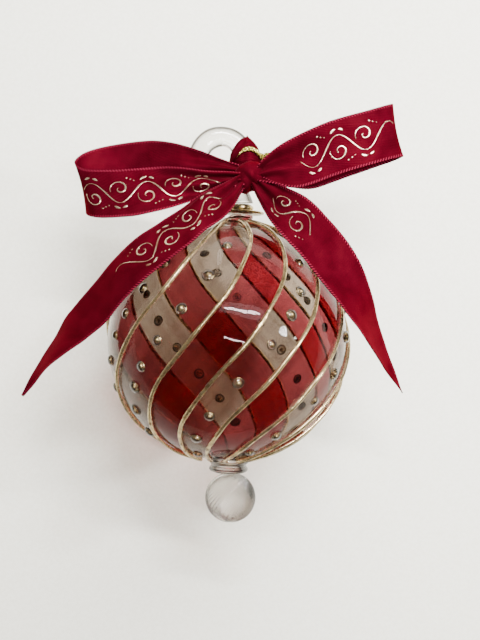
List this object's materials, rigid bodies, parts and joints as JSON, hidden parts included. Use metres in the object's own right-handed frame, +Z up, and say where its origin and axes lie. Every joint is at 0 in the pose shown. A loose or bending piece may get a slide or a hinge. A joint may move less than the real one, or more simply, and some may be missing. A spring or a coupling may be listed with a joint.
{
  "type": "christmas ornament",
  "caption": "Blown-glass Christmas ball with red and clear swirled panels, gilt glass threads and dots, a glass hanging ring, a glass drop and a satin ribbon bow.",
  "frame": {"origin": "top of the hanging ring's hole, where a hook bears", "axes": "+Z up along the ball's axis, -Y towards the side with the bow's knot, +X to the right seen from there"},
  "size_m": [0.1214, 0.0778, 0.1341],
  "materials": {
    "swirled_glass": "clear and translucent red panels, fire polished",
    "clear_glass": "fire polished",
    "gilt": "fired gold lustre on glass",
    "satin_ribbon": "satin with a woven edge and gold foil flourishes",
    "gold_cord": "metallic yarn"
  },
  "bodies": {
    "root": {"globe": "swirled_glass", "gilt_collar": "gilt", "hanging_ring": "clear_glass", "finial_collar": "clear_glass", "finial_drop": "clear_glass", "ribbon_bow": "satin_ribbon", "gold_cord": "gold_cord", "gilt_thread_01": "gilt", "gilt_thread_02": "gilt", "gilt_thread_03": "gilt", "gilt_thread_04": "gilt", "gilt_thread_05": "gilt", "gilt_thread_06": "gilt", "gilt_thread_07": "gilt", "gilt_thread_08": "gilt", "gilt_thread_09": "gilt", "gilt_thread_10": "gilt", "gilt_thread_11": "gilt", "gilt_thread_12": "gilt", "gilt_thread_13": "gilt"}
  },
  "joints": []
}
